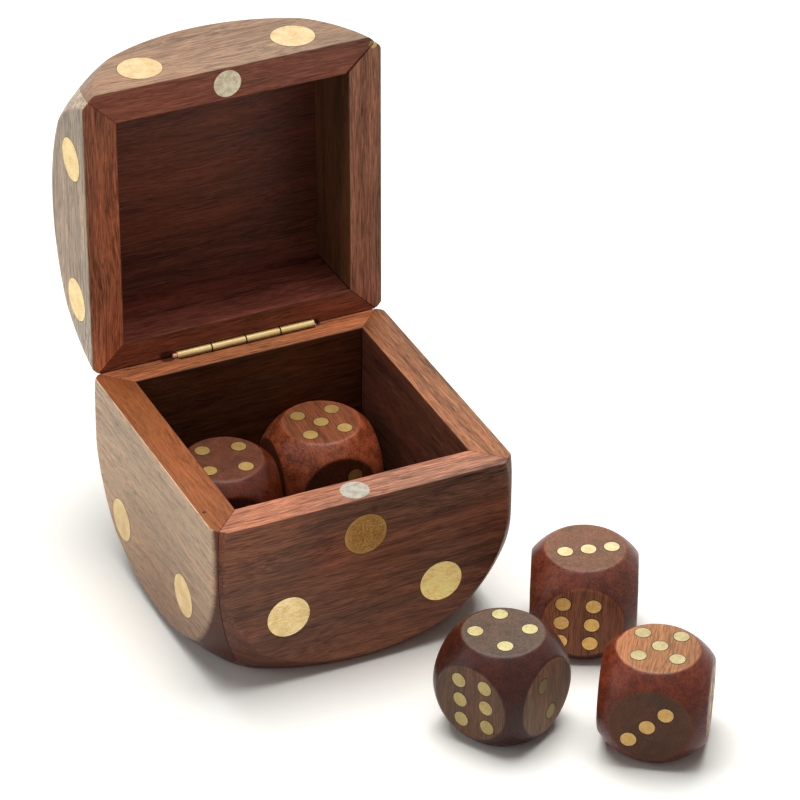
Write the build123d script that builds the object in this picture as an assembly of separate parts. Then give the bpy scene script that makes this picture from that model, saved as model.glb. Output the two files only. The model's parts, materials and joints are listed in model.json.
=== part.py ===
from build123d import *
from math import cos, radians, sin, sqrt
import os

# A wooden dice box in the form of one big die, with a hinged lid and five dice.
# Origin: centre of the box's underside. +X right, -Y front, +Z up. Millimetres.
# The lid is built closed and then swung open, which is the rest pose.

# Box
box_side = 75.0
base_height = 46.0
lid_height = 25.0
wall_thickness = 8.3
floor_thickness = 6.5
top_thickness = 5.5
rim_gap = 0.1                  # between the two rims when the lid is down
edge_rounding = 3.0            # radius of the four upright edges
corner_ball_reach = 14.5       # how far the ball that rounds the corners passes the side faces
edge_ball_radius = 75.0        # balls that ease the four top and four bottom edges
edge_easing = 1.95             # taken off the middle of each of those edges
open_angle = 91.2

# Inlaid brass discs, one big pip each
dot_diameter = 10.5
dot_depth = 2.0
inlay_clearance = 0.05         # all round a disc or a pip in its hole
front_dot_reach = (19.2, 18.0)     # from the pattern's middle to its outer discs
front_dot_middle = (-0.6, -9.7)    # pattern's middle: sideways, and from the rim
side_dot_reach = (18.7, 19.2)
side_dot_middle = (1.0, -10.7)
top_dot_reach = (18.0, 19.0)
front_row_slant = -0.55        # rise of the lower row's right disc, and fall of its left one
left_row_slant = 1.1

# Disc magnets in the two front rims
magnet_margin = 0.75           # wood left on each side of a magnet
magnet_depth = 2.5
magnet_offset = -1.5           # sideways from the middle of the rim

# Small butt hinge on the 45 degree chamfers of the two back edges
hinge_width = 35.4
hinge_offset = 1.6
hinge_inset = 1.65             # hinge axis to the box's back face
knuckle_count = 4
knuckle_gap = 0.15
pin_diameter = 1.1
pin_grip_clearance = 0.02      # in the base leaf's knuckles
pin_running_clearance = 0.05   # in the lid leaf's knuckles
pin_head_diameter = 1.5
pin_head_length = 1.2
pin_head_rounding = 0.45
leaf_thickness = 0.42
leaf_width = 2.4
leaf_face_gap = 0.05           # each leaf's face to the hinge's middle plane
leaf_end_clearance = 0.05      # leaf to each end of the shallow pocket it lies in
chamfer_gap = 0.12             # each chamfer to the hinge's middle plane
seat_end_room = 3.6            # groove for the barrel, past each end of the hinge
seat_clearance = 0.3
nail_diameter = 0.7
nail_length = 4.0
nail_head_diameter = 1.1
nail_head_depth = 0.2
nail_hole_clearance = 0.02

# Dice
pair_room = 8.4                # inside width of the box that two dice side by side leave free
die_ball_reach = 3.15          # how far the ball that rounds a die passes its faces
pip_diameter = 3.6
pip_depth = 1.2
two_reach = 3.3                # from the middle of a face to an outer pip, across and up
three_reach = 3.9
four_reach = 4.35
five_reach = 4.35
six_reach = (3.5, 5.2)
die_wall_gap = 0.25            # between a die in the box and the wall it lies against
pair_offset = 5.0              # the left die in the box stands this much nearer the front
left_die_turn = -11.8          # about Z, from square with the box
back_die_turn = -3.4

# The three dice in front of the box: place from its front right corner, and turn about Z
front_die_places = [(-19.3, -32.9), (12.7, -10.9), (9.5, -52.8)]
front_die_turns = [-61.3, -28.0, -34.3]

# Some of their patterns were marked off the middle of the face, across and up, and turned
two_shift = (-0.3, -0.4)       # on the first die
two_turn = 66.0
four_shift = (-0.5, 0.45)
four_turn = -4.5
six_shifts = [(0.75, 0.15), (-1.5, -0.4)]      # on the first and second
six_turns = [5.0, -3.0]
three_shifts = [(0.7, -0.65), (-0.7, -0.5)]    # on the second and third
three_turns = [-31.0, -2.0]
five_shift = (0.25, 0.9)       # on the third

overreach = 1.0                # how far a cutting shape runs past what it cuts

half = box_side / 2
inside = half - wall_thickness
lid_foot = base_height + rim_gap
box_height = lid_foot + lid_height
middle_height = box_height / 2
corner_ball_radius = half + corner_ball_reach
edge_reach = (half + middle_height) / sqrt(2) - edge_easing
magnet_diameter = wall_thickness - 2 * magnet_margin
die_side = (2 * inside - pair_room) / 2
die_ball_radius = die_side / 2 + die_ball_reach
die_reach = {1: (0, 0), 2: (two_reach, two_reach), 3: (three_reach, three_reach),
             4: (four_reach, four_reach), 5: (five_reach, five_reach), 6: six_reach}

hinge_y = half - hinge_inset
hinge_z = base_height + rim_gap / 2
hinge_axis = Axis((0, hinge_y, hinge_z), (1, 0, 0))
pin_radius = pin_diameter / 2
barrel_radius = pin_radius + pin_running_clearance + leaf_thickness
knuckle_length = (hinge_width - (knuckle_count - 1) * knuckle_gap) / knuckle_count
hinge_left = hinge_offset - hinge_width / 2

# The frame of a hinge leaf: X along the pin, Y down the chamfer, Z out of it.
leaf_plane = Plane(origin=(0, hinge_y, hinge_z), x_dir=(1, 0, 0), z_dir=(0, 1, 1))
closed_mirror = Plane(origin=(0, 0, hinge_z), z_dir=(0, 0, 1))

LOW, MID, HIGH = Align.MIN, Align.CENTER, Align.MAX


def whole_box():
    """The closed box as one solid: a block with rounded upright edges, whose corners one ball
    cuts back, and whose top and bottom edges eight larger balls ease, each set off from the
    middle away from its edge."""
    block = Box(box_side, box_side, box_height)
    block = fillet(block.edges().filter_by(Axis.Z), edge_rounding) & Sphere(corner_ball_radius)
    for turn in range(0, 360, 90):
        for up in (-1, 1):
            edge = Vector(0, -1, up).normalized().rotate(Axis.Z, turn)
            block &= Pos(*(edge * (edge_reach - edge_ball_radius))) * Sphere(edge_ball_radius)
    return Pos(0, 0, middle_height) * block


def chamfer_cutter():
    """Everything outside the 45 degree plane of the base's chamfer, and the shallow pocket in
    it that the hinge leaf lies in."""
    slope = leaf_face_gap + leaf_thickness + hinge_inset
    block = Box(box_side, 4 * slope, 2 * slope, align=(MID, MID, LOW))
    pocket_length = hinge_width + 2 * leaf_end_clearance
    pocket = Box(pocket_length, 4 * slope, 2 * slope, align=(LOW, MID, LOW))
    pocket_place = Pos(hinge_left - leaf_end_clearance, 0, -leaf_face_gap - leaf_thickness)
    return leaf_plane * (Pos(0, 0, -chamfer_gap) * block + pocket_place * pocket)


def seat_cutter():
    """Groove that the hinge's barrel turns in, longer than the hinge at both ends."""
    length = hinge_width + 2 * seat_end_room
    return along_x(barrel_radius + seat_clearance, length, hinge_left - seat_end_room)


def along_x(radius, length, start):
    """A round bar on the hinge's axis."""
    bar = Cylinder(radius, length, align=(MID, MID, LOW))
    return Pos(start, hinge_y, hinge_z) * Rot(0, 90, 0) * bar


def board(shell, turn):
    """One mitred wall of a frame: the front board's prism turned about Z."""
    out = half + overreach
    outline = make_face(Polyline((-out, -out), (out, -out), (inside, -inside),
                                 (-inside, -inside), close=True))
    return shell & extrude(outline, box_height).rotate(Axis.Z, turn)


def between_walls(thickness, foot):
    """A square block that fills the space between the walls."""
    return Pos(0, 0, foot) * Box(2 * inside, 2 * inside, thickness, align=(MID, MID, LOW))


def pattern(count, reach):
    """Places of a face's pips about its middle; twos and threes lie on a diagonal."""
    across, up = reach
    rows = {1: [], 2: [(-1, -1), (1, 1)], 3: [(-1, -1), (1, 1)],
            4: [(-1, -1), (1, -1), (-1, 1), (1, 1)], 5: [(-1, -1), (1, -1), (-1, 1), (1, 1)],
            6: [(-1, -1), (1, -1), (-1, 0), (1, 0), (-1, 1), (1, 1)]}[count]
    middle = [(0, 0)] if count % 2 else []
    return [(across * i, up * j) for i, j in rows + middle]


def discs(face, places, diameter, depth):
    """Flat discs sunk into a face, flush with it."""
    disc = Cylinder(diameter / 2, depth, align=(MID, MID, HIGH))
    return [face * Pos(x, y, 0) * disc for x, y in places]


def inlay(body, face, places, diameter, depth):
    """The body with a hole for each disc, and the discs."""
    for hole in discs(face, places, diameter + 2 * inlay_clearance, depth):
        body -= hole
    return body, discs(face, places, diameter, depth)


def box_face(direction, shift):
    """Plane on one of the box's upright faces, its middle at the rim's height plus a shift."""
    out = Vector(*direction)
    across = Vector(0, 0, 1).cross(out)
    foot = out * half + across * shift[0] + Vector(0, 0, base_height + shift[1])
    return Plane(origin=foot, x_dir=across, z_dir=out)


def split_at_rim(places, middle, slant):
    """The places that fall on the base, in a slanting row, and those that fall on the lid.
    The slant raises places on the right, lowers those on the left and leaves the middle."""
    rim = -middle[1]
    low = [(x, y + slant * ((x > 0) - (x < 0))) for x, y in places if y < rim]
    return low, [(x, y) for x, y in places if y > rim]


def nail_places():
    """One nail under the middle of each knuckle, midway from the barrel to the leaf's edge."""
    pitch = knuckle_length + knuckle_gap
    down = (barrel_radius + knuckle_gap + leaf_width) / 2
    return [(hinge_left + knuckle_length / 2 + i * pitch, down) for i in range(knuckle_count)]


def nails(clearance=0.0):
    """Countersunk nails through a leaf, or the holes they need."""
    shank = Cylinder(nail_diameter / 2 + clearance, nail_length, align=(MID, MID, HIGH))
    head = Cylinder(nail_head_diameter / 2 + clearance, nail_head_depth, align=(MID, MID, HIGH))
    return [leaf_plane * Pos(x, y, -leaf_face_gap) * (shank + head) for x, y in nail_places()]


def leaf(first_knuckle, bore_clearance):
    """A hinge leaf in the base's place, with every second knuckle from the first given."""
    plate = Box(hinge_width, leaf_width, leaf_thickness, align=(LOW, LOW, HIGH))
    body = leaf_plane * Pos(hinge_left, 0, -leaf_face_gap) * plate
    clear = barrel_radius + knuckle_gap
    notch = Box(knuckle_length + 2 * knuckle_gap, 2 * clear, 2 * clear, align=(LOW, MID, MID))
    for i in range(knuckle_count):
        start = hinge_left + i * (knuckle_length + knuckle_gap)
        if i % 2 == first_knuckle:
            body += along_x(barrel_radius, knuckle_length, start)
        else:
            body -= leaf_plane * Pos(start - knuckle_gap, 0, 0) * notch
    bore_length = hinge_width + 2 * overreach
    body -= along_x(pin_radius + bore_clearance, bore_length, hinge_left - overreach)
    for hole in nails(nail_hole_clearance):
        body -= hole
    return body


def hinge_pin():
    """Round pin with a rounded head that stands out at the left end of the barrel."""
    shaft = along_x(pin_radius, hinge_width, hinge_left)
    head_start = hinge_left - pin_head_length
    head = along_x(pin_head_diameter / 2, pin_head_length, head_start)
    rim = head.edges().sort_by(Axis.X)[0]
    return shaft + fillet(rim, pin_head_rounding)


def die(top, front, marked):
    """A die on its face at the origin, with the values on its top and front, and its pips.
    A value in marked has its pattern shifted and turned by this much on its face."""
    face_of = {6: (0, -1, 0), 1: (0, 1, 0), 4: (0, 0, 1), 3: (0, 0, -1), 2: (1, 0, 0), 5: (-1, 0, 0)}
    body = Box(die_side, die_side, die_side) & Sphere(die_ball_radius)
    up, forward = Vector(*face_of[top]), Vector(*face_of[front])
    right = up.cross(forward)
    pips = []
    for value, direction in face_of.items():
        out = Vector(*direction)
        seen = Vector(out.dot(right), -out.dot(forward), out.dot(up))
        across = Vector(1, 0, 0) if abs(seen.X) < 0.5 else Vector(0, 1, 0)
        face = Plane(origin=seen * (die_side / 2), x_dir=across, z_dir=seen)
        shift, turn = marked.get(value, ((0, 0), 0))
        face *= Pos(*shift) * Rot(0, 0, turn)
        places = pattern(value, die_reach[value])
        body, face_pips = inlay(body, face, places, pip_diameter, pip_depth)
        pips += face_pips
    lift = Pos(0, 0, die_side / 2)
    return lift * body, [lift * pip for pip in pips]


def die_support(turn):
    """How far a die reaches towards a wall when it is turned this much from square."""
    face_circle = sqrt(die_ball_radius**2 - (die_side / 2)**2)
    return die_side / 2 * cos(radians(turn)) + face_circle * sin(abs(radians(turn)))


# ---- Base ----
nodes = {}
closed_box = whole_box()
chamfer, seat = chamfer_cutter(), seat_cutter()
base_block = Box(2 * box_side, 2 * box_side, base_height, align=(MID, MID, LOW))
base_shell = (closed_box & base_block) - between_walls(box_height, 0) - chamfer - seat
base_boards = {name: board(base_shell, turn) for name, turn in
               (("front", 0), ("right", 90), ("back", 180), ("left", 270))}
for hole in nails(nail_hole_clearance):
    base_boards["back"] -= hole

lid_block = Pos(0, 0, lid_foot) * Box(2 * box_side, 2 * box_side, box_height, align=(MID, MID, LOW))
lid_shell = (closed_box & lid_block) - between_walls(box_height, 0)
lid_shell = lid_shell - chamfer.mirror(closed_mirror) - seat
lid_boards = {name: board(lid_shell, turn) for name, turn in
              (("front", 0), ("right", 90), ("back", 180), ("left", 270))}
for hole in nails(nail_hole_clearance):
    lid_boards["back"] -= hole.mirror(closed_mirror)

# Big pips of the upright faces: the five in front, the four on the left, and their opposites.
upright_faces = {
    "front": ((0, -1, 0), 5, front_dot_reach, front_dot_middle, front_row_slant),
    "left": ((-1, 0, 0), 4, side_dot_reach, (-side_dot_middle[0], side_dot_middle[1]), left_row_slant),
    "right": ((1, 0, 0), 3, side_dot_reach, side_dot_middle, 0),
    "back": ((0, 1, 0), 2, front_dot_reach, (-front_dot_middle[0], front_dot_middle[1]), 0)}
lid_nodes = {}
for name, (direction, count, reach, middle, slant) in upright_faces.items():
    face = box_face(direction, middle)
    low, high = split_at_rim(pattern(count, reach), middle, slant)
    base_boards[name], dots = inlay(base_boards[name], face, low, dot_diameter, dot_depth)
    nodes[f"base_{name}_dots"] = dots
    lid_boards[name], dots = inlay(lid_boards[name], face, high, dot_diameter, dot_depth)
    lid_nodes[f"lid_{name}_dots"] = dots

# Magnets, let into the middle of the front boards' rims.
magnet_place = [(magnet_offset, 0)]
for boards, group, prefix, height, way in ((base_boards, nodes, "base", base_height, 1),
                                           (lid_boards, lid_nodes, "lid", lid_foot, -1)):
    rim_face = Plane(origin=(0, wall_thickness / 2 - half, height), x_dir=(1, 0, 0), z_dir=(0, 0, way))
    boards["front"], group[f"{prefix}_magnet"] = inlay(
        boards["front"], rim_face, magnet_place, magnet_diameter, magnet_depth)
    for name, wood in boards.items():
        group[f"{prefix}_{name}_wall"] = [wood]

# Floor with the one, top with the six: panels let in between the walls.
under_face = Plane(origin=(0, 0, 0), x_dir=(1, 0, 0), z_dir=(0, 0, -1))
floor = closed_box & between_walls(floor_thickness, 0)
floor, nodes["base_bottom_dot"] = inlay(
    floor, under_face, pattern(1, top_dot_reach), dot_diameter, dot_depth)
nodes["base_floor"] = [floor]
top_face = Plane(origin=(0, 0, box_height))
top = closed_box & between_walls(top_thickness, box_height - top_thickness)
top, lid_nodes["lid_top_dots"] = inlay(
    top, top_face, pattern(6, top_dot_reach), dot_diameter, dot_depth)
lid_nodes["lid_top"] = [top]

# Hinge: the pin is gripped by the base's knuckles and turns in the lid's.
nodes["hinge_base_leaf"] = [leaf(1, pin_grip_clearance)]
nodes["hinge_base_nails"] = nails()
nodes["hinge_pin"] = [hinge_pin()]
lid_nodes["hinge_lid_leaf"] = [leaf(0, pin_running_clearance).mirror(closed_mirror)]
lid_nodes["hinge_lid_nails"] = [nail.mirror(closed_mirror) for nail in nails()]

for name, solids in lid_nodes.items():
    nodes[name] = [solid.rotate(hinge_axis, -open_angle) for solid in solids]

# Dice: three stand in front of the box; two lie in it, by the left wall and by the back wall.
left_x = die_support(left_die_turn) + die_wall_gap - inside
back_y = inside - die_support(back_die_turn) - die_wall_gap
right_x = left_x + die_support(left_die_turn) + die_support(back_die_turn)
die_turns = front_die_turns + [left_die_turn, back_die_turn]
die_places = [(half + x, y - half, 0) for x, y in front_die_places]
die_places += [(left_x, back_y - pair_offset, floor_thickness), (right_x, back_y, floor_thickness)]
top_and_front = ["4 6", "3 6", "5 3", "4 6", "5 3"]       # the values that face up and forward
marked_off = [{2: (two_shift, two_turn), 4: (four_shift, four_turn), 6: (six_shifts[0], six_turns[0])},
              {3: (three_shifts[0], three_turns[0]), 6: (six_shifts[1], six_turns[1])},
              {3: (three_shifts[1], three_turns[1]), 5: (five_shift, 0)}, {}, {}]
for number, (values, marked) in enumerate(zip(top_and_front, marked_off), start=1):
    above, forward = map(int, values.split())
    wood, pips = die(above, forward, marked)
    here = Pos(*die_places[number - 1]) * Rot(0, 0, die_turns[number - 1])
    nodes[f"die_{number}"] = [here * wood]
    nodes[f"die_{number}_pips"] = [here * pip for pip in pips]

os.makedirs("parts", exist_ok=True)
for name, shapes in nodes.items():
    solids = [solid for shape in shapes for solid in shape.solids()]
    piece = solids[0] if len(solids) == 1 else Compound(children=solids)
    piece.label = name
    export_step(piece, f"parts/{name}.step")
    print(name, len(solids), round(sum(solid.volume for solid in solids), 3))
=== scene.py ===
import json
from math import cos, pi, radians, sin, sqrt
import bmesh
import bpy
import numpy as np
from mathutils import Matrix, Vector

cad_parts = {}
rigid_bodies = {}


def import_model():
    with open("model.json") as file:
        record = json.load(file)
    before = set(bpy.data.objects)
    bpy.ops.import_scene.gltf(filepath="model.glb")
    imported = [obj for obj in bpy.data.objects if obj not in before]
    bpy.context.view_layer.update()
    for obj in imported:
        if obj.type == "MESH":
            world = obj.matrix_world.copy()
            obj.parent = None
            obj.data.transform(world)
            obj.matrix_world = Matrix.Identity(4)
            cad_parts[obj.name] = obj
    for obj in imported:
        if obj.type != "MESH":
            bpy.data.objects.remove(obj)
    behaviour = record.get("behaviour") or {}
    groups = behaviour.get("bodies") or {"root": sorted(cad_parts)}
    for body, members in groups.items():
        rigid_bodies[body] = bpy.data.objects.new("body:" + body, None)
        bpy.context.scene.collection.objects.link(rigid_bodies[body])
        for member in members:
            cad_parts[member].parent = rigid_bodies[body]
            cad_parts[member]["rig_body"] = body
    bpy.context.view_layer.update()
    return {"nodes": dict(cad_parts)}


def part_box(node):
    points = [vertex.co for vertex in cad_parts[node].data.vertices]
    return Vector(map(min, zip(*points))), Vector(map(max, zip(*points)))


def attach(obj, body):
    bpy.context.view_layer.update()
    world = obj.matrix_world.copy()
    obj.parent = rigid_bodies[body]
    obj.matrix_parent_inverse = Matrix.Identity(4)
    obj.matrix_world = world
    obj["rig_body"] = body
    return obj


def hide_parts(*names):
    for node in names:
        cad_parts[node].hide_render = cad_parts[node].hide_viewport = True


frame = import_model()

# ---- Base boards ----
# Four boards of dark oiled hardwood, mitred and glued, their outsides ground round as one
# ball. Their rims were planed after the staining, so they show lighter, redder wood.
MM = 0.001
nodes = frame["nodes"]
shrunk = 0.04                 # the wood lies this far below the faces of its discs
half, inside = 37.5 - shrunk, 29.2
underside, rim = shrunk, 46.0 - shrunk
middle, lid_top = 35.55, 71.1 - shrunk
edge_rounding, corner_ball, edge_ball, edge_reach = 3.0, 52.0, 75.0, 49.7
hinge_y, hinge_z, hinge_left, hinge_right = 35.85, 46.05, -16.2, 19.4
chamfer_gap, bare_gap = 0.12, 0.05    # the chamfer to the hinge's middle, and beside it
groove_radius, groove_end_radius = 1.32, 0.9
groove_floor, groove_left, groove_right = 0.94, -17.5, 20.8
seat_depth, seat_slope = 1.95, 1.2    # where the base's leaf lies
arris = 0.16                  # how far the boards' edges are worn round
seam = 0.14                   # depth of the fine V between two boards


def from_srgb(red, green, blue):
    """A colour given in 0 to 255 screen values, in the linear values that shaders use."""
    screen = np.array([red, green, blue]) / 255
    linear = np.where(screen > 0.04045, ((screen + 0.055) / 1.055) ** 2.4, screen / 12.92)
    return tuple(float(part) for part in linear)


class Socket:
    """A shader socket. Arithmetic on it adds Math nodes, and node() adds any other node."""

    def __init__(self, tree, output=None):
        self.tree, self.output = tree, output

    def node(self, kind, settings, inputs, output=0):
        """Adds a node: its settings are set first, then its sockets' values or links."""
        made = self.tree.nodes.new("ShaderNode" + kind)
        for name, value in settings.items():
            setattr(made, name, value)
        for name, value in inputs.items():
            if isinstance(value, Socket):
                self.tree.links.new(value.output, made.inputs[name])
            else:
                made.inputs[name].default_value = value
        return Socket(self.tree, made.outputs[output] if made.outputs else None)

    def math(self, operation, *values):
        return self.node("Math", {"operation": operation}, dict(enumerate(values)))

    def __add__(self, other):
        return self.math("ADD", self, other)

    def __sub__(self, other):
        return self.math("SUBTRACT", self, other)

    def __rsub__(self, other):
        return self.math("SUBTRACT", other, self)

    def __mul__(self, other):
        return self.math("MULTIPLY", self, other)

    __radd__, __rmul__ = __add__, __mul__

    def vector(self, operation, *values):
        return self.node("VectorMath", {"operation": operation}, dict(enumerate(values)))

    def step(self, low, high):
        """0 below low, 1 above high, and smooth between; low may be the larger."""
        return self.node("MapRange", {"interpolation_type": "SMOOTHSTEP"},
                         {"Value": self, "From Min": low, "From Max": high})

    def between(self, low, high):
        """A colour that goes from low to high as this value goes from 0 to 1."""
        low, high = [end if isinstance(end, Socket) else (*map(float, end), 1)
                     for end in (low, high)]
        return self.node("Mix", {"data_type": "RGBA"}, {0: self, 6: low, 7: high}, 2)

    def scaled(self, factor):
        """A vector or colour multiplied by a number or by a value."""
        return self.node("VectorMath", {"operation": "SCALE"}, {0: self, "Scale": factor})

    def tinted(self, tint):
        """This colour multiplied by another, part by part."""
        return self.vector("MULTIPLY", self, tint)

    def stained(self, share, tint):
        """This colour, tinted as far as share goes."""
        return share.between(self, self.tinted(tint))

    def noise(self, size, detail, roughness=0.5):
        """Noise read at this place, its features about the given size."""
        return self.node("TexNoise", {}, {"Vector": self, "Scale": 1 / size, "Detail": detail,
                                          "Roughness": roughness})

    def streaks(self, squeeze, size, detail, roughness=0.5):
        """Noise drawn out along X, which is squeezed to this share of its length."""
        return self.vector("MULTIPLY", self, (squeeze, 1, 1)).noise(size, detail, roughness)

    def near(self, centre, radii, edge):
        """1 inside an ellipsoid round centre, falling to 0 over its outer part."""
        off = self.vector("DIVIDE", self.vector("SUBTRACT", self, centre), radii)
        length = off.node("VectorMath", {"operation": "LENGTH"}, {0: off}, 1)
        return length.step(1, 1 - edge)


def new_material(name):
    """An empty material, and a bare socket in it to build on."""
    material = bpy.data.materials.new(name)
    material.use_nodes = True
    material.node_tree.nodes.clear()
    return material, Socket(material.node_tree)


def own_place(start):
    """The piece's own coordinates, in millimetres."""
    return start.node("TexCoord", {}, {}, "Object").scaled(1 / MM)


def show(start, **inputs):
    """Ends a material in one Principled shader with these inputs."""
    inputs = {name.replace("_", " "): value for name, value in inputs.items()}
    start.node("OutputMaterial", {}, {"Surface": start.node("BsdfPrincipled", {}, inputs)})


# The lid is open in the rest pose. Closing it, about the hinge's axis, brings its grain
# back in line with the base's, as both were cut from one block.
hinge_axis = Vector((0, hinge_y, hinge_z))
closing = (Matrix.Translation(hinge_axis) @ Matrix.Rotation(radians(91.2), 4, "X")
           @ Matrix.Translation(-hinge_axis))


turned_tint, scorched_tint = (1.15, 1.12, 1.12), (0.5, 0.40, 0.44)
redder_tint, pore_tint = (1.14, 0.86, 0.72), (0.42, 0.36, 0.34)


def wood(name, along, lid=False, marks=(), seed=0.0, contrast=1.4, pith=1.0):
    """Oiled open-pored hardwood, coloured by the piece's tone attribute.

    The closed box's millimetres are turned so that X runs along the grain, and squeezed
    along X, so that each noise is drawn out into streaks: wide bands, fine fibres, thin
    dark veins where a slow noise passes its middle, and pores, short dark dashes. Where
    the tone's fourth part is 0, the wood was turned on a lathe, which polished it and
    scorched it in clouds. Each mark is an ellipsoid's centre, radii and soft edge, and
    its strength and tint.
    """
    material, start = new_material(name)
    place = own_place(start)
    moved = closing if lid else Matrix.Identity(4)
    place = place.node("Mapping", {}, {
        "Vector": place, "Rotation": moved.to_euler(), "Location": moved.to_translation()})
    turn = (0, pi / 2, 0) if along == "up" else (0, 0, -radians(along))
    grain = place.node("Mapping", {}, {"Vector": place, "Rotation": turn,
                                       "Location": (0, seed, 2 * seed)})
    sway = (grain.streaks(0.25, 9.0, 1) - 0.5) * 5
    wavy = grain.vector("ADD", grain, grain.node("CombineXYZ", {}, {"Y": sway, "Z": sway}))
    bands = wavy.streaks(0.06, 2.6, 4, 0.6)
    broad = wavy.streaks(0.15, 11.0, 2)
    fibres = wavy.streaks(0.045, 0.34, 3, 0.65)
    vein = wavy.streaks(0.035, 4.5, 2) - 0.5
    vein = vein.math("ABSOLUTE", vein).step(0.035, 0.0)
    pores = grain.streaks(0.07, 0.20, 2, 0.4).step(0.56, 0.66)
    light = (1 + (bands - 0.5) * (1.3 * contrast) + (fibres - 0.5) * (2.6 * contrast)
             + (broad - 0.5) * (0.9 * contrast))
    colour = start.node("Attribute", {"attribute_name": "tone"}, {}, "Color").scaled(light)
    turned = 1 - start.node("Attribute", {"attribute_name": "tone"}, {}, "Alpha")
    scorch = place.noise(2.6, 5, 0.7).step(0.42, 0.64) * turned * 0.75
    colour = scorch.between(colour.tinted(turned_tint), colour.tinted(scorched_tint))
    colour = colour.stained(broad.step(0.42, 0.62) * (0.35 * contrast), redder_tint)
    for centre, radii, edge, strength, tint in marks:
        colour = colour.stained(place.near(centre, radii, edge) * strength, tint)
    colour = colour.stained(vein * (0.35 * pith) + pores * 0.6, pore_tint)
    height = (1 - pores) * 0.7 + fibres * 0.3
    bump = height.node("Bump", {}, {"Strength": 0.35, "Distance": 0.06 * MM, "Height": height})
    rough = 0.42 + (fibres - 0.5) * 0.25 + pores * 0.15 - turned * 0.12
    show(start, Base_Color=colour, Roughness=rough, Normal=bump, Specular_IOR_Level=0.25)
    return material


def outside(x, y, z):
    """How far a point lies outside the closed box's worn outer form, negative inside it.

    It is the smooth maximum of the distances past the square with its rounded upright
    edges, past the big ball, past the balls that ease the long edges, past the top and
    underside, and past the chamfers of the hinge, which are deeper along its leaves.
    """
    a, b, c = np.abs(x), np.abs(y), np.abs(z - middle)
    past_a, past_b = a - half + edge_rounding, b - half + edge_rounding
    upright = (np.hypot(np.maximum(past_a, 0), np.maximum(past_b, 0))
               + np.minimum(np.maximum(past_a, past_b), 0) - edge_rounding)
    offset = (edge_ball - edge_reach) / sqrt(2)
    gap = np.where((x > hinge_left) & (x < hinge_right), chamfer_gap, bare_gap)
    past = [upright, np.sqrt(a**2 + b**2 + c**2) - corner_ball,
            np.sqrt(a**2 + (b + offset)**2 + (c + offset)**2) - edge_ball,
            np.sqrt(b**2 + (a + offset)**2 + (c + offset)**2) - edge_ball,
            c - (lid_top - underside) / 2,
            (y - hinge_y - np.abs(z - hinge_z)) / sqrt(2) + gap]
    blend = 0.12
    return blend * np.log(sum(np.exp(np.clip(part / blend, -60, 60)) for part in past))


def onto_form(start, target):
    """The points between each start, inside the form, and its target where the form ends.

    Halving the stretch twenty times finds them all at once.
    """
    low, high = np.zeros(target.shape[:-1]), np.ones(target.shape[:-1])
    for _ in range(20):
        share = (low + high) / 2
        spot = start + share[..., None] * (target - start)
        out = outside(*np.moveaxis(spot, -1, 0)) > 0
        low, high = np.where(out, low, share), np.where(out, share, high)
    return start + low[..., None] * (target - start)


def quarter_turn(points, side):
    """Points made for the front board, turned about Z to the board on another side."""
    turns = ("front", "right", "back", "left").index(side)
    x, y, z = np.moveaxis(points, -1, 0)
    for _ in range(turns):
        x, y = -y, x
    return np.stack([x, y, z], -1)


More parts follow.
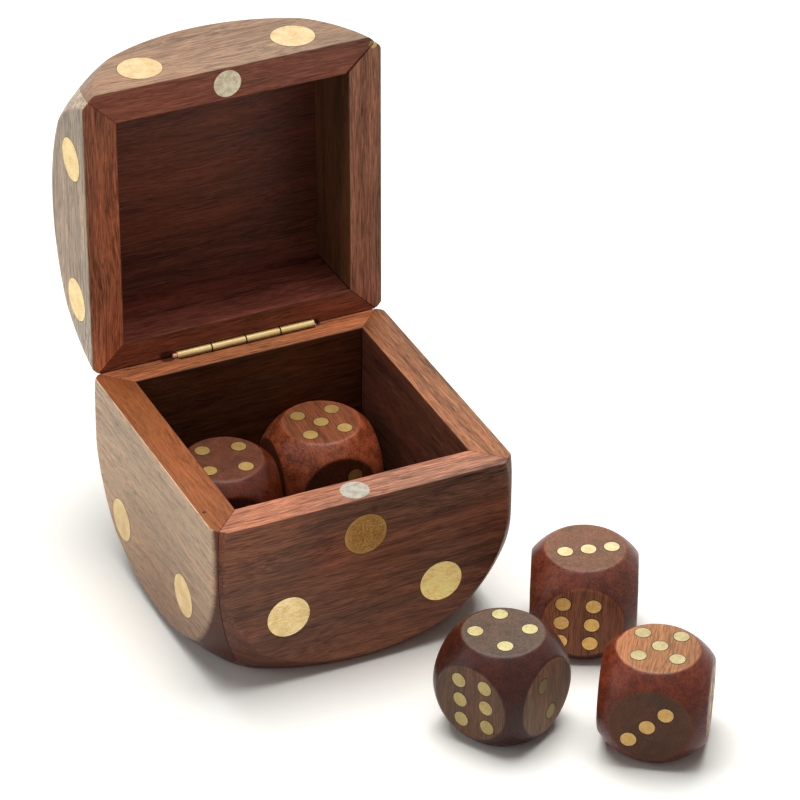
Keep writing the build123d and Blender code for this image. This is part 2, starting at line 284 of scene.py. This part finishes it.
def board_points(side, foot, end, seams, slit=0.0):
    """Rows of points round one mitred board, each row running from mitre to mitre.

    The rows go down the outer face from the rim at height foot to height end, across that
    end, back along the inner wall and out over the rim. Each point of the outer form is
    met by a ray from the box's axis, so that the ends stay on the mitre planes. Along the
    rim's two edges the rows follow a quarter circle, and the last points before each
    mitre sink by the seams' depths, which leaves a fine V between two boards. Rows and
    columns crowd at the rim and the mitres. A slit is where the board's last end has
    shrunk back from the mitre, most at the inner corner of its rim. Each row's part is
    given too: 0 outer face, 1 end, 2 inner wall, 3 rim.
    """
    way = 1 if end > foot else -1
    across = np.concatenate([[-1, -0.996], np.linspace(-0.99, 0.99, 165), [0.996, 1]])
    turn = np.linspace(0, pi / 2, 4)
    near_rim = np.array([0.6, groove_floor - 0.01, groove_floor + 0.01])
    heights = np.concatenate([foot + way * arris * (1 - np.cos(turn)), foot + way * near_rim,
                              np.linspace(foot + way * 1.3, end, 110)])
    sunk = np.zeros(len(heights))
    sunk[:len(turn)] = arris * (1 - np.sin(turn))
    aim = foot + (heights - foot) * (middle - foot) / (end - foot)

    def rows(y, z):
        """Targets across the board at these distances from the axis and heights."""
        y, z = np.broadcast_arrays(y, z)
        return np.stack([across * y[:, None], -np.ones_like(across) * y[:, None],
                         np.ones_like(across) * z[:, None]], -1)

    outer = onto_form(quarter_turn(rows(0, aim), side),
                      quarter_turn(rows(half + 0.5, heights), side))
    if side == "back":
        fall = np.abs(outer[..., 2] - hinge_z)
        by_hinge = (outer[..., 0] > hinge_left) & (outer[..., 0] < hinge_right)
        radius = np.where(by_hinge, groove_radius, groove_end_radius)
        drop = np.sqrt(np.maximum(radius**2 - fall**2, 0))
        if way < 0:
            drop = np.where(by_hinge, np.maximum(drop, seat_depth - seat_slope * fall), drop)
        in_groove = ((np.abs(outer[..., 2] - foot) < groove_floor)
                     & (outer[..., 0] > groove_left) & (outer[..., 0] < groove_right))
        y = np.where(in_groove, np.minimum(outer[..., 1], hinge_y - drop), outer[..., 1])
        outer = np.stack([outer[..., 0], y, outer[..., 2]], -1)
    reach = np.abs(outer[..., :2]).max(-1)
    outer[..., :2] *= (1 - sunk[:, None] / reach)[..., None]
    depth = np.linspace(half, inside, 20)[1:]
    lean = (half - depth) / (half - inside)
    end_face = onto_form(quarter_turn(rows(depth * lean, middle), side),
                         quarter_turn(rows(depth, end + way * 0.5), side))
    inner_edge = quarter_turn(rows(inside + arris * (1 - np.cos(turn)),
                                   foot + way * arris * (1 - np.sin(turn))), side)

    def across_gap(first, last, count):
        """Rows evenly spread between two rows, with one close to each of them."""
        share = np.concatenate([[0.005], np.linspace(0, 1, count)[1:-1], [0.995]])[:, None, None]
        return (1 - share) * first + share * last

    wall = np.concatenate([across_gap(end_face[-1], inner_edge[0], 38), inner_edge])
    parts = [outer, end_face, wall, across_gap(wall[-1], outer[0], 18)]
    points = np.concatenate(parts)
    facing = np.cross(np.gradient(points, axis=0), np.gradient(points, axis=1))
    facing /= np.linalg.norm(facing, axis=-1)[..., None] + 1e-9
    centre = quarter_turn(np.array([0, -(half + inside) / 2, (foot + end) / 2]), side)
    facing *= np.where((facing * (points - centre)).sum(-1) > 0, 1, -1)[..., None]
    points[:, 0] -= seams[0] * facing[:, 1]
    points[:, -1] -= seams[1] * facing[:, -2]
    slit_start, slit_fade, slit_edge = 0.88, 8, half - 1.0
    inward = np.clip((slit_edge - np.abs(points[..., 1])) / (slit_edge - inside), 0, 1)**0.6
    last = np.clip((across - slit_start) / (1 - slit_start), 0, 1)
    points[..., 0] -= slit * inward * last * np.exp(-np.abs(points[..., 2] - foot) / slit_fade)
    return points, np.repeat(np.arange(4), [len(part) for part in parts])


def grid_faces(rows, columns, closed):
    """Four-sided faces between neighbouring rows and columns; closed joins last and first."""
    row = np.arange(rows if closed else rows - 1)[:, None] * columns
    column = np.arange(columns - 1)[None, :]
    a, b = row + column, (row + columns) % (rows * columns) + column
    return np.stack([a, a + 1, b + 1, b], -1).reshape(-1, 4)


def outward(mesh, weld=False):
    """Turns a mesh's faces outward, after its points that meet are joined if weld is true."""
    shape = bmesh.new()
    shape.from_mesh(mesh)
    if weld:
        bmesh.ops.remove_doubles(shape, verts=shape.verts, dist=1e-6)
    bmesh.ops.recalc_face_normals(shape, faces=shape.faces)
    shape.to_mesh(mesh)
    shape.free()


def in_scene(name, data):
    """A new object in the scene for this mesh, lamp or camera."""
    thing = bpy.data.objects.new(name, data)
    bpy.context.scene.collection.objects.link(thing)
    return thing


def piece(name, points, faces, tones, material, opened=False):
    """A smooth closed mesh from points in millimetres, which stands for a CAD node.

    Each point's tone is a colour, and may have a fourth part: 1 where the wood is flat, 0
    where it was turned on a lathe. An opened piece's points are given with the lid shut.
    """
    mesh = bpy.data.meshes.new(name + "_worn")
    spots = np.asarray(points, float).reshape(-1, 3)
    if opened:
        opening = np.array(closing.inverted())
        spots = spots @ opening[:3, :3].T + opening[:3, 3]
    mesh.from_pydata(spots * MM, [], faces)
    colours = mesh.attributes.new("tone", "FLOAT_COLOR", "POINT")
    tones = np.reshape(tones, (len(spots), -1))
    tones = np.concatenate([tones, np.ones((len(spots), 4 - tones.shape[1]))], 1)
    colours.data.foreach_set("color", tones.astype(np.float32).ravel())
    outward(mesh, weld=True)
    mesh.shade_smooth()
    mesh.set_sharp_from_angle(angle=radians(38))
    mesh.materials.append(material)
    thing = in_scene(name + "_worn", mesh)
    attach(thing, nodes[name]["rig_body"])
    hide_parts(name)


seeds = {"front": 0, "left": 31, "right": 57, "back": 83}
along = {"front": 0, "left": 90, "right": 90, "back": 0}
# Outer faces' tones; the left board's is much paler and greyer, its wood tone with a painted
# sheen.
outer_wood_and_sheen = {"front": from_srgb(142, 96, 73), "left": from_srgb(226, 192, 154),
              "right": from_srgb(143, 102, 87), "back": from_srgb(141, 99, 87)}
rim_tone = {"front": from_srgb(158, 109, 84), "left": from_srgb(145, 86, 48),
            "right": from_srgb(140, 95, 62), "back": from_srgb(175, 114, 76)}
ground_tone = {"front": from_srgb(122, 76, 56), "left": from_srgb(112, 66, 50),
               "right": from_srgb(122, 76, 56), "back": from_srgb(122, 76, 56)}
inside_tone = {"front": from_srgb(90, 57, 41), "left": from_srgb(90, 57, 41),
               "right": from_srgb(99, 64, 50), "back": from_srgb(81, 47, 26)}
ground_from, ground_full = 0.15, 0.65
# Painted shade in the recess at the left end of the hinge's groove, on the back boards of base and
# lid.
painted_recess_shade = ((-18.6, 35.2, 46.05), (2.4, 1.5, 1.3), 0.5, 0.95, (0.2, 0.15, 0.15))
# Marks on the base boards. Front: a redder patch, a lighter upper left and a small dark spot below
# the rim. Left: painted shade at the foot of its front corner and over its lower part, darker
# towards the bottom, and a small dark spot on the rim. Back: the painted shade in the hinge's
# recess.
base_marks = {"front": [((-9.0, -37.5, 34.0), (11.0, 4.0, 8.0), 0.9, 0.6, (1.5, 1.05, 0.9)),
                        ((-27.0, -37.5, 40.0), (17.0, 4.0, 13.0), 0.9, 0.9, (1.50, 1.45, 1.35)),
                        ((1.6, -37.5, 42.6), (1.3, 3.0, 1.4), 0.7, 0.7, (0.35, 0.3, 0.3))],
              "left": [((-37.5, -30.0, 8.0), (10.0, 16.0, 12.0), 0.9, 0.7, (0.78, 0.72, 0.70)),
                       ((-36.0, -27.5, 45.9), (0.7, 0.6, 0.6), 0.6, 0.9, (0.15, 0.12, 0.1)),
                       ((-37.5, -14.0, 0.0), (24.0, 64.0, 44.0), 0.95, 0.9, (0.46, 0.35, 0.31))],
              "right": [], "back": [painted_recess_shade]}


def board(name, side, foot, end, colours, marks, contrast, seams=(seam, seam), slit=0.0,
          opened=False):
    """One mitred board of the base or lid, with its wood.

    Its colours are those of its flat outer face, its inner face, its rims, and where the
    ball has ground its outer face down, which shows from a depth of ground_from.
    """
    points, parts = board_points(side, foot, end, seams, slit)
    rows, columns = points.shape[:2]
    outer, inner, rims, ground = colours
    tones = np.array([outer, outer, inner, rims])[parts]
    tones = np.repeat(tones[:, None], columns, axis=1)
    sunk = (half - np.abs(points[..., :2]).max(-1)) * (parts < 2)[:, None]
    sunk = np.clip((sunk - ground_from) / (ground_full - ground_from), 0, 1)[..., None]
    tones = (1 - sunk) * tones + sunk * ground
    faces = grid_faces(rows, columns, closed=True).tolist()
    faces += [list(range(0, rows * columns, columns)),
              list(range(columns - 1, rows * columns, columns))]
    material = wood(name + "_wood", along[side], opened, marks, seeds[side], contrast=contrast)
    piece(name, points, faces, tones, material, opened)


for side in along:
    board(f"base_{side}_wall", side, rim, underside,
          (outer_wood_and_sheen[side], inside_tone[side], rim_tone[side], ground_tone[side]),
          base_marks[side], contrast=0.55 if side == "left" else 1.3)

# ---- Base floor ----
# One flat board of the same wood, let in between the four walls and glued. The box stands
# on it, and the dice lie on it.


def panel(name, low, high, tones, material, opened=False):
    """A square board between the walls, its outer corners cut back by the big ball.

    Two grids, one at each height, reach to the walls, and upright faces join their rims.
    """
    count = 121
    spread = np.linspace(-1, 1, count) * (inside - shrunk)
    x, y = np.meshgrid(spread, spread)
    start = np.stack([x, y, np.full_like(x, middle)], -1)
    layers = []
    for height in (low, high):
        target = np.stack([x, y, np.full_like(x, height)], -1)
        layers.append(onto_form(start, target) if height in (underside, lid_top) else target)
    faces = grid_faces(count, count, closed=False)
    ring = np.concatenate([np.arange(count), np.arange(2, count + 1) * count - 1,
                           np.arange(count**2 - 2, count * (count - 1) - 1, -1),
                           np.arange(count - 2, 0, -1) * count])
    beside = np.roll(ring, -1)
    sides = np.stack([ring, beside, beside + count**2, ring + count**2], -1)
    faces = np.concatenate([faces, faces + count**2, sides]).tolist()
    tones = np.repeat(np.array(tones), count**2, axis=0)
    piece(name, np.array(layers), faces, tones, material, opened)


panel("base_floor", underside, 6.5, [outer_wood_and_sheen["back"], inside_tone["front"]],
      wood("base_floor_wood", 0, seed=11))

# ---- Lid boards and top ----
# The same four mitred boards, cut from the same block, with the top let in between them.
# The glue of the front right mitre has let go, and a dark slit is open there.
lid_rim = 46.1 + shrunk
filler = ((35.4, -35.5, 46.1), (1.3, 1.3, 0.9), 0.4, 1.0, (2.3, 4.0, 2.7))
# Marks on the lid boards. Front and right: filler in the open mitre; the front's rim darker beside
# it, the right's rim a little redder along its length. Left: a paler patch toward the hinge,
# painted sheen. Back: the painted shade in the hinge's recess.
lid_marks = {"front": [filler, ((33.6, -33.4, 46.1), (3.4, 3.0, 2.0), 0.9, 0.8,
                                (0.55, 0.60, 0.62))],
             "right": [filler, ((34.5, 4.0, 46.1), (5.0, 36, 3.0), 0.5, 0.5, (1.0, 0.9, 0.75))],
             "left": [((-37.5, 38.0, 56.0), (7.0, 26.0, 40.0), 0.9, 0.9, (1.55, 1.75, 1.95))],
             "back": [painted_recess_shade]}
lid_seams = {"front": (seam, 0.3), "right": (0.6, 0.4), "back": (0.4, seam), "left": (seam, seam)}
lid_slits = {"front": 0.9, "right": 0.0, "back": 0.0, "left": 0.0}
# The lid's outer faces' tones; the front's and the left's are paler and greyer, their wood tone
# with a painted sheen.
lid_outer_wood_and_sheen = {"front": from_srgb(137, 111, 88), "left": from_srgb(188, 170, 145),
                  "right": from_srgb(143, 102, 87), "back": from_srgb(141, 99, 87)}
lid_inside_tone = {"front": from_srgb(137, 83, 62), "left": from_srgb(137, 83, 62),
                   "right": from_srgb(108, 80, 55), "back": from_srgb(122, 65, 51)}
lid_rim_tone = {"front": from_srgb(166, 101, 78), "left": from_srgb(187, 114, 79),
                "right": from_srgb(177, 124, 97), "back": from_srgb(133, 79, 56)}
for side in along:
    outer = lid_outer_wood_and_sheen[side]
    board(f"lid_{side}_wall", side, lid_rim, lid_top,
          (outer, lid_inside_tone[side], lid_rim_tone[side], outer), lid_marks[side],
          1.0 if side == "front" else 1.3, lid_seams[side], lid_slits[side], opened=True)
ceiling = 65.6
# The lid top's inner face is darker over its right third and toward the back board: painted shade.
panel("lid_top", ceiling, lid_top, [lid_inside_tone["front"], outer_wood_and_sheen["back"]],
      wood("lid_top_wood", 0, lid=True, seed=140, contrast=1.1, marks=[
          ((32.0, 0.0, ceiling), (32.0, 60.0, 6.0), 0.9, 0.8, (0.45, 0.42, 0.40)),
          ((-8.0, 30.0, ceiling), (40.0, 22.0, 6.0), 0.9, 0.5, (0.55, 0.50, 0.50))]), opened=True)

# ---- Brass discs ----
# Slices of brass rod, glued into drilled holes and sanded flush with the wood. A thin ring
# of dark glue shows round each.
tarnish_tint, speck_tint, pit_tint = (0.72, 0.60, 0.45), (0.5, 0.42, 0.30), (0.55, 0.5, 0.4)


def brass(name, shade, marks, tarnished=1.0, pitted=None):
    """Sanded brass: a soft mottled tarnish, fine dark specks and scratches across it.

    Marks are as in wood. Pitted is the middle of a disc that is full of small dark pits,
    but for its rim.
    """
    material, start = new_material(name)
    place = own_place(start)
    cloud = place.noise(3.0, 2)
    mottle = place.noise(0.45, 4, 0.7)
    specks = place.noise(0.15, 2, 0.6).step(0.54, 0.68)
    scratch = place.streaks(0.15, 0.16, 2)
    tarnish = (cloud * 0.5 + mottle * 0.5 + (scratch - 0.5) * 0.7).step(0.30, 0.76) * tarnished
    colour = tarnish.between(shade, np.array(shade) * tarnish_tint)
    for centre, radii, edge, strength, tint in marks:
        colour = colour.stained(place.near(centre, radii, edge) * strength, tint)
    colour = colour.stained(specks * (0.4 * tarnished), speck_tint)
    if pitted:
        pits = place.noise(0.5, 3, 0.7).step(0.45, 0.62)
        colour = colour.stained(pits * place.near(pitted, (5.2, 5.2, 5.2), 0.2), pit_tint)
    height = scratch * 0.4 + mottle * 0.6
    bump = height.node("Bump", {}, {"Strength": 0.25, "Distance": 0.02 * MM, "Height": height})
    show(start, Base_Color=colour, Metallic=1.0, Roughness=0.42 + mottle * 0.2, Normal=bump)
    return material


def discs_of(name):
    """Outer face's middle, direction and radius of each round disc in a CAD node.

    The node's loose triangles are joined where their points meet, and the lowest number in
    a triangle spreads over its disc. A disc is thinnest along its own axis, which points
    away from the middle of the piece it is in.
    """
    mesh = nodes[name].data
    spots, corners = np.empty(len(mesh.vertices) * 3), np.empty(len(mesh.loops), np.int32)
    mesh.vertices.foreach_get("co", spots)
    mesh.loops.foreach_get("vertex_index", corners)
    spots, joined = np.unique((spots.reshape(-1, 3) / MM).round(3), axis=0, return_inverse=True)
    triangles = joined.ravel()[corners].reshape(-1, 3)
    label, before = np.arange(len(spots)), None
    while not np.array_equal(label, before):
        before = label.copy()
        np.minimum.at(label, triangles, label[triangles].min(1, keepdims=True))
    heart = np.array([0, 0, middle])
    if name.startswith("lid"):
        opening = np.array(closing.inverted())
        heart = opening[:3, :3] @ heart + opening[:3, 3]
    if name.endswith("pips"):
        heart = (spots.min(0) + spots.max(0)) / 2
    found = []
    for number in np.unique(label):
        disc = spots[label == number]
        centre = (disc.min(0) + disc.max(0)) / 2
        spread = disc - centre
        axis = np.linalg.svd(spread)[2][2]
        axis *= np.sign(axis @ (centre - heart))
        rises = spread @ axis
        radius = np.linalg.norm(spread - rises[:, None] * axis, axis=1).max()
        found.append((centre + rises.max() * axis, axis, radius))
    return found


def glue_rings(name, width, material):
    """Dark glue squeezed out round each disc: a flat band carried round it, a closed ring.

    Each point is the disc's middle, plus a spoke as long as its radius and the point's own
    step out, less its depth along the axis. The band lies glue_sunk below the disc's face.
    """
    around = np.linspace(0, 2 * pi, 65)[:-1]
    ring = np.arange(4 * len(around)).reshape(-1, 4)
    beside = np.roll(ring, -1, axis=1)
    quads = np.stack([ring, beside, np.roll(beside, -1, axis=0), np.roll(ring, -1, axis=0)], -1)
    points, faces = [], []
    for face, axis, radius in discs_of(name):
        across = np.cross(axis, (0.3, 0.5, 0.8))
        across /= np.linalg.norm(across)
        spoke = np.cos(around)[:, None] * across + np.sin(around)[:, None] * np.cross(axis, across)
        rows = [face + spoke * (radius + out) - axis * depth for out, depth in
                ((-glue_sunk, glue_sunk), (width, glue_sunk),
                 (width, glue_depth), (-glue_sunk, glue_depth))]
        faces += (quads.reshape(-1, 4) + ring.size * len(points)).tolist()
        points.append(np.stack(rows, 1).reshape(-1, 3))
    mesh = bpy.data.meshes.new(name + "_glue")
    mesh.from_pydata(np.concatenate(points) * MM, [], faces)
    outward(mesh)
    mesh.materials.append(material)
    thing = in_scene(name + "_glue", mesh)
    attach(thing, nodes[name]["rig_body"])


def refinish(name, material):
    """Gives a CAD node this material instead of its plain one."""
    nodes[name].data.materials.clear()
    nodes[name].data.materials.append(material)


glue_sunk, glue_depth = 0.02, 0.30
front_centre = (-0.6, -37.5, 36.3)
# The discs' marks: the front's middle disc darker, browner and pitted; the front's lower right
# disc lighter, a painted reflection; the lid's discs, which face up while it stands open, darker,
# painted shade against the lamps' reflection; the left board's discs a little darker.
disc_brass = brass("disc_brass", from_srgb(238, 217, 165), [
    (front_centre, (9, 3, 8), 0.1, 1.0, (0.55, 0.39, 0.24)),
    ((18.6, -37.5, 17.7), (8, 3, 8), 0.1, 1.0, (1.36, 1.32, 1.08)),
    ((0, 50, 119.4), (40, 20, 3), 0.1, 1.0, (0.81, 0.78, 0.87)),
    ((-37.5, 0, 20), (3, 60, 40), 0.1, 1.0, (0.85, 0.83, 0.87))], pitted=front_centre)
glue, start = new_material("dark_glue")
grit = own_place(start).noise(0.3, 2)
show(start, Base_Color=grit.between(from_srgb(46, 26, 16), from_srgb(70, 42, 26)), Roughness=0.6)
disc_glue_width = 0.12
for name in [n for n in nodes if n.endswith("dots") or n == "base_bottom_dot"]:
    refinish(name, disc_brass)
    glue_rings(name, disc_glue_width, glue)

# ---- Magnets ----
# Two nickel-plated discs pressed into the middle of the front rims, which hold the lid
# shut. The base's is made a little brighter and warmer, the lid's darker.
material, start = new_material("magnet_nickel")
place = own_place(start)
mottle = place.noise(1.6, 5, 0.7)
colour = mottle.step(0.35, 0.7).between(from_srgb(212, 206, 192), from_srgb(178, 168, 150))
bump = mottle.node("Bump", {}, {"Strength": 0.3, "Distance": 0.03 * MM, "Height": mottle})
in_base = place.near((0, -33.4, 46), (6, 6, 1), 0.2)
colour = in_base.between(colour.tinted((1.08, 1.02, 0.9)), colour.scaled(0.66))
show(start, Base_Color=colour, Metallic=0.9, Roughness=0.45 + mottle * 0.2, Normal=bump)
for name in ("base_magnet", "lid_magnet"):
    refinish(name, material)

# ---- Hinge ----
# A small butt hinge of brass sheet, its four knuckles rolled round a drawn pin. Its leaves
# are nailed to the chamfers of the back boards. Dirt lies between the knuckles, and the
# barrel's lower and upper sides are painted lighter, a painted highlight where they mirror
# dark wood.
hinge_middle, knuckle = (hinge_left + hinge_right) / 2, 8.89
# Painted highlights along the barrel's lower and upper sides.
painted_barrel_light = (1.45, 1.25, 1.05)
dirt = [((hinge_middle + knuckle * step, hinge_y, hinge_z), (0.3, 2, 2), 0.4, 1.0,
         (0.1, 0.06, 0.03)) for step in (-1, 0, 1)]
hinge_brass = brass("hinge_brass", from_srgb(210, 188, 134), [
    ((hinge_middle, 34.7, 45.0), (60, 1.0, 1.0), 0.8, 1.0, painted_barrel_light),
    ((hinge_middle, 36.4, 47.0), (60, 0.7, 0.7), 0.8, 1.0, painted_barrel_light), *dirt], tarnished=0.6)
for name in ("hinge_base_leaf", "hinge_lid_leaf", "hinge_base_nails", "hinge_lid_nails"):
    refinish(name, hinge_brass)
refinish("hinge_pin", brass("pin_metal", from_srgb(214, 160, 140), dirt))

# ---- Dice ----
# Hardwood cubes with ball-turned corners, so each face is a flat circle. Each pip is a
# slice of thin brass rod.
die_half, die_ball, die_worn = 12.5 - shrunk, 15.65, 0.35
pip_glue_width = 0.18


def die_points():
    """One die about its middle: six fields of rings, each round one flat face.

    A ring is a cone of rays at one angle from the face's middle. Its points lie where the
    rays leave the smooth minimum of the flat face and the ball. The last ring opens out
    to the square border that neighbouring faces share. Also given are how flat each point
    is, from 1 on a face to 0 on the ball, and how near it is to the worn line round a face.
    """
    spokes = 97
    around = np.linspace(0, 2 * pi, spokes)
    border = np.arctan(1 / np.maximum(np.abs(np.cos(around)), np.abs(np.sin(around))))
    circle = np.arccos(die_half / die_ball)
    worn_steps = np.array([-5, -2.4, -1.6, -0.8, 0, 0.8, 1.6, 2.4])
    near_circle = circle + worn_steps * die_worn / die_ball
    share = np.linspace(0, 1, 9)[1:, None]
    angle = np.concatenate([np.repeat(near_circle[:, None], spokes, 1),
                            near_circle[-1] + share * (border - near_circle[-1])])
    flat, ball = die_half / np.cos(angle), die_ball
    far = (flat + ball - np.sqrt((flat - ball)**2 + (0.6 * die_worn)**2)) / 2
    top = np.stack([far * np.sin(angle) * np.cos(around), far * np.sin(angle) * np.sin(around),
                    far * np.cos(angle)], -1)
    x, y, z = np.moveaxis(top, -1, 0)
    fields = [(x, y, z), (x, -y, -z), (z, x, y), (-z, -x, y), (y, z, x), (-y, -z, x)]
    points = np.array([np.stack(field, -1) for field in fields])
    faces = []
    for first in range(0, 6 * angle.size, angle.size):
        faces += (grid_faces(len(angle), spokes, closed=False) + first).tolist()
        faces.append(list(range(first, first + spokes - 1)))
    inward = np.tile((circle - angle) / (die_worn / die_ball), (6, 1, 1))[..., None]
    return points.reshape(-1, 3), faces, np.clip(inward * 0.7 + 0.5, 0, 1), np.exp(-inward**2)


# Each die's turn about Z, the way its grain runs, and the colours of its top and
# underside, its right and left faces, its back and front, its ball, and the brass of its
# pips on the sides and on the top. The pips' brass holds painted reflection and shade,
# which differ from die to die; on the first three dice the top pips are paler and greyer,
# a painted reflection of the bright room above.
dice = {1: (-61.3, "up", (92, 75, 62), (154, 119, 93), (116, 85, 64), (70, 30, 18),
            (167, 152, 106), (195, 188, 140)),
        2: (-28.0, "up", (119, 85, 63), (104, 62, 48), (182, 119, 86), (112, 58, 40),
            (238, 197, 124), (216, 201, 158)),
        3: (-34.3, 90 - 34.3, (160, 110, 70), (98, 58, 42), (100, 64, 44), (112, 50, 28),
            (192, 158, 102), (178, 171, 133)),
        4: (-11.8, "up", (107, 65, 48), (100, 60, 48), (80, 44, 34), (93, 39, 15),
            (228, 196, 124), (228, 196, 124)),
        5: (-3.4, 90 - 3.4, (135, 78, 50), (110, 64, 46), (95, 55, 37), (152, 79, 48),
            (228, 196, 124), (228, 196, 124))}
points, faces, flatness, edge_highlight = die_points()
for number, (angle, grain, *colours) in dice.items():
    top, right, front, ball, pips, top_pip_reflection = [np.array(from_srgb(*c)) for c in colours]
    low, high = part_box(f"die_{number}")
    centre = (np.array(low) + np.array(high)) / 2 / MM
    c, s = cos(radians(angle)), sin(radians(angle))
    placed = points @ np.array([[c, s, 0], [-s, c, 0], [0, 0, 1]]) + centre
    flat = np.repeat([top, right, front], 2, axis=0)[:, None, None]
    # The flat faces' tones are lighter along the worn line round each face, a painted highlight.
    tones = (flatness * flat + (1 - flatness) * ball) * (1 + 0.3 * edge_highlight)
    material = wood(f"die_{number}_wood", grain, seed=200 + 17 * number, contrast=0.85, pith=0.5)
    piece(f"die_{number}", placed, faces, np.concatenate([tones, flatness], -1), material)
    # The top pips' painted reflection.
    painted_top_reflection = ((*centre[:2], high[2] / MM), (12, 12, 1), 0.2, 1.0, top_pip_reflection / pips)
    refinish(f"die_{number}_pips", brass(f"die_{number}_brass", pips, [painted_top_reflection]))
    glue_rings(f"die_{number}_pips", pip_glue_width, glue)

# ---- Studio ----
# A wide pale table in a white room, a large soft lamp above it and a small one to its left,
# and the camera, which looks down at the box's front left corner.
reach = 3.0
mesh = bpy.data.meshes.new("table")
mesh.from_pydata([(-reach, -reach, 0), (reach, -reach, 0), (reach, reach, 0), (-reach, reach, 0)],
                 [], [(0, 1, 2, 3)])
in_scene("table", mesh)


def seen(start):
    """1 where the camera looks, straight or by a gloss or through glass, and 0 elsewhere."""
    return (start.node("LightPath", {}, {}, "Is Camera Ray")
            + start.node("LightPath", {}, {}, "Is Glossy Ray")
            + start.node("LightPath", {}, {}, "Is Transmission Ray"))


material, start = new_material("pale_table")
table_colour = seen(start).between((0.34, 0.34, 0.34), (1.16, 1.155, 1.10))
table_face = start.node("BsdfDiffuse", {}, {"Color": table_colour})
start.node("OutputMaterial", {}, {"Surface": table_face})
mesh.materials.append(material)

world = bpy.data.worlds.new("studio")
bpy.context.scene.world = world
world.use_nodes = True
world.node_tree.nodes.clear()
start = Socket(world.node_tree)
room_light = 0.15             # the room's own light; to the camera it is white
strength = room_light + seen(start) * (1 - room_light)
room = start.node("Background", {}, {"Color": (1, 1, 1, 1), "Strength": strength})
start.node("OutputWorld", {}, {"Surface": room})


def soft_box(name, place, target, size, watts):
    """A square area light at place that faces target."""
    lamp = bpy.data.lights.new(name, "AREA")
    lamp.size, lamp.energy = size, watts
    thing = in_scene(name, lamp)
    thing.location = place
    thing.rotation_euler = (Vector(target) - Vector(place)).to_track_quat("-Z", "Y").to_euler()


soft_box("overhead", (0.06, 0.16, 1.0), (0, 0, 0.03), 0.9, 13)
soft_box("left", (-0.9, 0.25, 0.45), (0, 0, 0.05), 0.7, 1.5)

camera = bpy.data.cameras.new("camera")
camera.sensor_width = 36
camera.lens = 5.589725 * camera.sensor_width      # the focal length in widths of the frame
camera.clip_start, camera.clip_end = 0.05, 20
stand = Vector((-354.14, -795.25, 610.75)) * MM
azimuth, elevation, roll = radians(25.52), radians(32.77), radians(0.65)
forward = Vector((sin(azimuth) * cos(elevation), cos(azimuth) * cos(elevation), -sin(elevation)))
right = Vector((cos(azimuth), -sin(azimuth), 0))
up = right.cross(forward)
right, up = cos(roll) * right + sin(roll) * up, cos(roll) * up - sin(roll) * right
viewer = in_scene("camera", camera)
viewer.matrix_world = (Matrix.Translation(stand)
                       @ Matrix((right, up, -forward)).transposed().to_4x4())
bpy.context.scene.camera = viewer
bpy.context.scene.view_settings.view_transform = "Standard"
